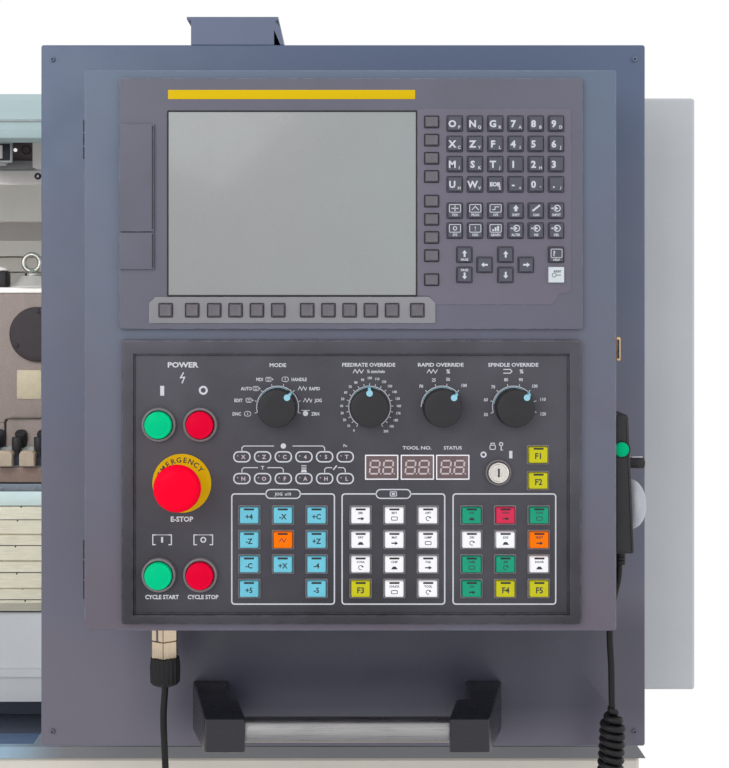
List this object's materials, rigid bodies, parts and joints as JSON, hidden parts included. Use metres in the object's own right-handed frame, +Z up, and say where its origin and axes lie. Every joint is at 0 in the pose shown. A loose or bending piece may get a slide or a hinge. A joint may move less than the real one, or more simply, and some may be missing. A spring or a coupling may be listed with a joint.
{
  "type": "cnc turning lathe",
  "caption": "Enclosed slant-bed CNC turning lathe with a turret, a sliding door and a sliding operator console with a hand pendant on a curly cord.",
  "frame": {"origin": "centre of the bounding box on the floor, between the levelling feet", "axes": "+Z up, the operator stands on the -Y side, +X runs along the spindle to the operator's right"},
  "size_m": [1.8716, 1.2738, 1.5851],
  "materials": {
    "shell": "satin light grey paint",
    "base": "satin cream grey paint",
    "trim": "satin blue grey paint",
    "cast": "painted casting",
    "steel": "machined steel",
    "cream": "cream sheet",
    "taupe": "taupe grey paint",
    "lamp": "white lamp housing",
    "glass": "tinted safety window",
    "dark": "fine textured blue grey paint",
    "bezel": "blue grey plastic",
    "screen": "screen that is off",
    "panel": "charcoal panel",
    "black": "black plastic",
    "rubber": "black cord sheath",
    "green": "green button",
    "red": "red button",
    "brass": "latch",
    "aluminium": "brushed aluminium",
    "chrome": "key lock"
  },
  "bodies": {
    "machine": {"base_frame": "base", "drip_tray": "trim", "left_cover": "shell", "right_cover": "shell", "apron": "shell", "rear_wall": "shell", "roof_hood": "shell", "work_lamp": "lamp", "slant_bed": "cast", "headstock": "cast", "electrical_cabinet": "shell", "console_rail_upper": "steel", "console_rail_lower": "steel"},
    "spindle": {"chuck": "steel"},
    "jaw_1": {"chuck_jaw_1": "steel"},
    "jaw_2": {"chuck_jaw_2": "steel"},
    "jaw_3": {"chuck_jaw_3": "steel"},
    "saddle_slide": {"saddle": "cast"},
    "slat_1": {"cover_slat_1": "cream"},
    "slat_2": {"cover_slat_2": "cream"},
    "turret_slide": {"cross_slide": "cast", "cover_slat_3": "cream", "turret_housing": "taupe", "eye_bolt": "steel"},
    "turret": {"turret_disc": "steel"},
    "sliding_door": {"door_panel": "shell", "door_window": "glass"},
    "cabinet_leaf": {"cabinet_door": "shell"},
    "console": {"console_pan": "dark", "console_box": "dark", "cable_trunk": "dark", "handle_bracket_left": "black", "handle_bracket_right": "black", "handle_tube": "aluminium", "pendant_body": "black", "cord_plug": "black", "cord_lead_pendant": "rubber", "cord_coil": "rubber", "cord_lead_plug": "rubber"},
    "latch": {"console_latch": "brass"},
    "console_front": {"console_door": "dark", "cnc_bezel": "bezel", "screen": "screen", "operator_panel": "panel"},
    "slot_flap": {"slot_cover": "bezel"},
    "mode_switch": {"mode_knob": "black"},
    "feed_switch": {"feed_knob": "black"},
    "rapid_switch": {"rapid_knob": "black"},
    "spindle_switch": {"spindle_knob": "black"},
    "stop_head": {"emergency_stop": "red"},
    "power_on": {"power_on_button": "green"},
    "power_off": {"power_off_button": "red"},
    "cycle_start": {"cycle_start_button": "green"},
    "cycle_stop": {"cycle_stop_button": "red"},
    "key_lock": {"key_switch": "chrome"},
    "pulse_wheel": {"pendant_wheel": "aluminium"},
    "axis_selector": {"pendant_axis_knob": "black"},
    "step_selector": {"pendant_step_knob": "black"},
    "enable": {"pendant_button": "green"}
  },
  "joints": [
    {"name": "spindle_turn", "type": "hinge", "parent": "machine", "child": "spindle", "pos_m": [-0.31515, 0.04971, 1.12247], "axis": [1, 0, 0], "continuous": true},
    {"name": "jaw_1_grip", "type": "slide", "parent": "spindle", "child": "jaw_1", "axis": [0, 0.5, -0.866], "range_m": [-0.008, 0.003]},
    {"name": "jaw_2_grip", "type": "slide", "parent": "spindle", "child": "jaw_2", "axis": [0, 0.5, 0.866], "range_m": [-0.008, 0.003]},
    {"name": "jaw_3_grip", "type": "slide", "parent": "spindle", "child": "jaw_3", "axis": [0, -1, 0], "range_m": [-0.008, 0.003]},
    {"name": "z_axis", "type": "slide", "parent": "machine", "child": "saddle_slide", "axis": [1, 0, 0], "range_m": [-0.16, 0.03]},
    {"name": "x_axis", "type": "slide", "parent": "saddle_slide", "child": "turret_slide", "axis": [0, 0.866, 0.5], "range_m": [-0.1, 0]},
    {"name": "slat_1_follow", "type": "slide", "parent": "saddle_slide", "child": "slat_1", "axis": [0, 0.866, 0.5], "range_m": [-0.0334, 0]},
    {"name": "slat_2_follow", "type": "slide", "parent": "saddle_slide", "child": "slat_2", "axis": [0, 0.866, 0.5], "range_m": [-0.0667, 0]},
    {"name": "turret_index", "type": "hinge", "parent": "turret_slide", "child": "turret", "pos_m": [0.03895, 0.2446, 1.235], "axis": [1, 0, 0], "continuous": true},
    {"name": "door_slide", "type": "slide", "parent": "machine", "child": "sliding_door", "axis": [1, 0, 0], "range_m": [-0.669, 0]},
    {"name": "cabinet_hinge", "type": "hinge", "parent": "machine", "child": "cabinet_leaf", "pos_m": [0.71925, 0.6169, 0.9], "axis": [0, 0, 1], "range_deg": [-110, 0]},
    {"name": "console_slide", "type": "slide", "parent": "machine", "child": "console", "axis": [1, 0, 0], "range_m": [-0.12, 0.12]},
    {"name": "latch_turn", "type": "hinge", "parent": "console", "child": "latch", "pos_m": [0.80325, -0.5594, 1.2818], "axis": [1, 0, 0], "range_deg": [0, 90]},
    {"name": "front_hinge", "type": "hinge", "parent": "console", "child": "console_front", "pos_m": [0.34005, -0.5734, 1.2773], "axis": [0, 0, 1], "range_deg": [-110, 0]},
    {"name": "slot_flap_hinge", "type": "hinge", "parent": "console_front", "child": "slot_flap", "pos_m": [0.3761, -0.6023, 1.4247], "axis": [0, 0, 1], "range_deg": [-100, 0]},
    {"name": "mode_turn", "type": "hinge", "parent": "console_front", "child": "mode_switch", "pos_m": [0.51105, -0.5989, 1.2278], "axis": [0, -1, 0], "range_deg": [-120, 120]},
    {"name": "feed_turn", "type": "hinge", "parent": "console_front", "child": "feed_switch", "pos_m": [0.59005, -0.5989, 1.2278], "axis": [0, -1, 0], "range_deg": [-140, 140]},
    {"name": "rapid_turn", "type": "hinge", "parent": "console_front", "child": "rapid_switch", "pos_m": [0.65255, -0.5989, 1.2278], "axis": [0, -1, 0], "range_deg": [-45, 45]},
    {"name": "spindle_turn_switch", "type": "hinge", "parent": "console_front", "child": "spindle_switch", "pos_m": [0.71455, -0.5989, 1.2278], "axis": [0, -1, 0], "range_deg": [-90, 90]},
    {"name": "stop_press", "type": "slide", "parent": "console_front", "child": "stop_head", "axis": [0, 1, 0], "range_m": [0, 0.005], "stiffness_N_per_m": 400},
    {"name": "power_on_press", "type": "slide", "parent": "console_front", "child": "power_on", "axis": [0, 1, 0], "range_m": [0, 0.003], "stiffness_N_per_m": 200},
    {"name": "power_off_press", "type": "slide", "parent": "console_front", "child": "power_off", "axis": [0, 1, 0], "range_m": [0, 0.003], "stiffness_N_per_m": 200},
    {"name": "cycle_start_press", "type": "slide", "parent": "console_front", "child": "cycle_start", "axis": [0, 1, 0], "range_m": [0, 0.003], "stiffness_N_per_m": 200},
    {"name": "cycle_stop_press", "type": "slide", "parent": "console_front", "child": "cycle_stop", "axis": [0, 1, 0], "range_m": [0, 0.003], "stiffness_N_per_m": 200},
    {"name": "key_turn", "type": "hinge", "parent": "console_front", "child": "key_lock", "pos_m": [0.70095, -0.5989, 1.1719], "axis": [0, -1, 0], "range_deg": [-45, 45]},
    {"name": "wheel_turn", "type": "hinge", "parent": "console", "child": "pulse_wheel", "pos_m": [0.83215, -0.5474, 1.1362], "axis": [1, 0, 0], "continuous": true},
    {"name": "axis_select", "type": "hinge", "parent": "console", "child": "axis_selector", "pos_m": [0.83215, -0.5654, 1.1737], "axis": [1, 0, 0], "range_deg": [-60, 60]},
    {"name": "step_select", "type": "hinge", "parent": "console", "child": "step_selector", "pos_m": [0.83215, -0.5294, 1.1737], "axis": [1, 0, 0], "range_deg": [-60, 60]},
    {"name": "enable_press", "type": "slide", "parent": "console", "child": "enable", "axis": [0, 1, 0], "range_m": [0, 0.001], "stiffness_N_per_m": 100}
  ],
  "couplings": [
    {"joint": "jaw_2_grip", "follows": "jaw_1_grip", "ratio": 1},
    {"joint": "jaw_3_grip", "follows": "jaw_1_grip", "ratio": 1},
    {"joint": "slat_1_follow", "follows": "x_axis", "ratio": 0.3333},
    {"joint": "slat_2_follow", "follows": "x_axis", "ratio": 0.6667}
  ]
}
